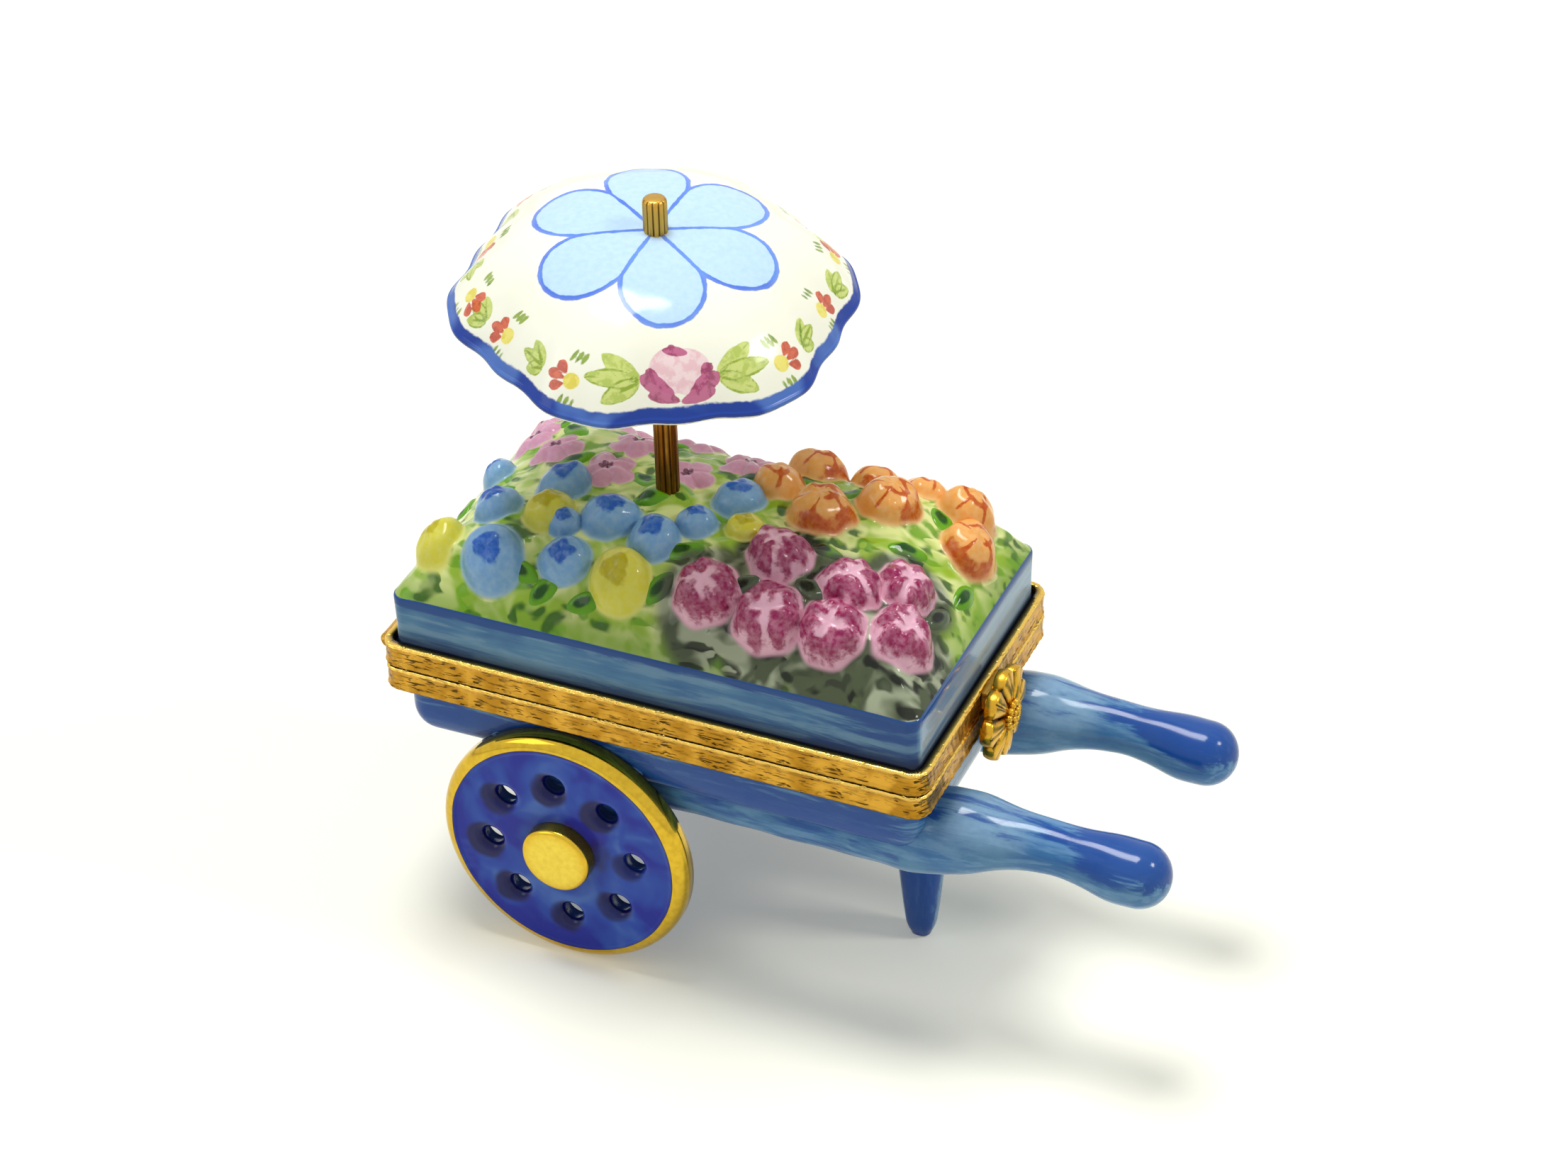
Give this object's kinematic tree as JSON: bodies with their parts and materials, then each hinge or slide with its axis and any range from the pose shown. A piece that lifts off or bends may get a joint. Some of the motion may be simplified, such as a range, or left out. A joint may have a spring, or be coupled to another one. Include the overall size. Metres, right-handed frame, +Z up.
{
  "type": "hinged porcelain box",
  "caption": "Small painted porcelain box in the form of a flower barrow with a parasol, closed by chased brass rims, a hinge and a daisy clasp.",
  "frame": {"origin": "on the floor, under the middle of the bounding box", "axes": "+X towards the handles and the clasp, -Y the near side in the picture, +Z up"},
  "size_m": [0.088, 0.0412, 0.0865],
  "materials": {
    "blue_glaze": "mottled sky blue glaze",
    "cobalt_glaze": "mottled cobalt glaze with a gilded edge",
    "gilding": "burnished gilding on glaze",
    "green_glaze": "yellow-green glaze over sky blue walls",
    "leaf_green": "dark green glaze",
    "blue_petal": "blue glaze",
    "yellow_petal": "yellow glaze",
    "lilac_petal": "lilac glaze",
    "orange_petal": "orange glaze",
    "magenta_petal": "magenta glaze",
    "ivory_glaze": "white glaze with painted flowers",
    "chased_brass": "hand-chased and gilded"
  },
  "bodies": {
    "base": {"tub": "blue_glaze", "shaft_near": "blue_glaze", "shaft_far": "blue_glaze", "pad_near": "blue_glaze", "pad_far": "blue_glaze", "wheel_near": "cobalt_glaze", "wheel_far": "cobalt_glaze", "hub_near": "gilding", "hub_far": "gilding", "leg": "blue_glaze", "lower_rim": "chased_brass", "lower_knuckles": "chased_brass", "hinge_pin": "chased_brass", "catch_nib": "chased_brass"},
    "lid": {"lid": "green_glaze", "upper_rim": "chased_brass", "upper_knuckles": "chased_brass", "clasp_pad": "chased_brass", "clasp_tongue": "chased_brass", "clasp_flower": "chased_brass", "clasp_boss": "chased_brass", "parasol_pole": "chased_brass", "pole_nut": "chased_brass", "canopy": "ivory_glaze", "canopy_collar": "chased_brass", "blue_blossoms": "blue_petal", "yellow_blossoms": "yellow_petal", "lilac_blossoms": "lilac_petal", "orange_roses": "orange_petal", "magenta_peonies": "magenta_petal", "leaves": "leaf_green"}
  },
  "joints": [
    {"name": "lid_hinge", "type": "hinge", "parent": "base", "child": "lid", "pos_m": [-0.04297, 0, 0.03378], "axis": [0, -1, 0], "range_deg": [0, 95]}
  ]
}
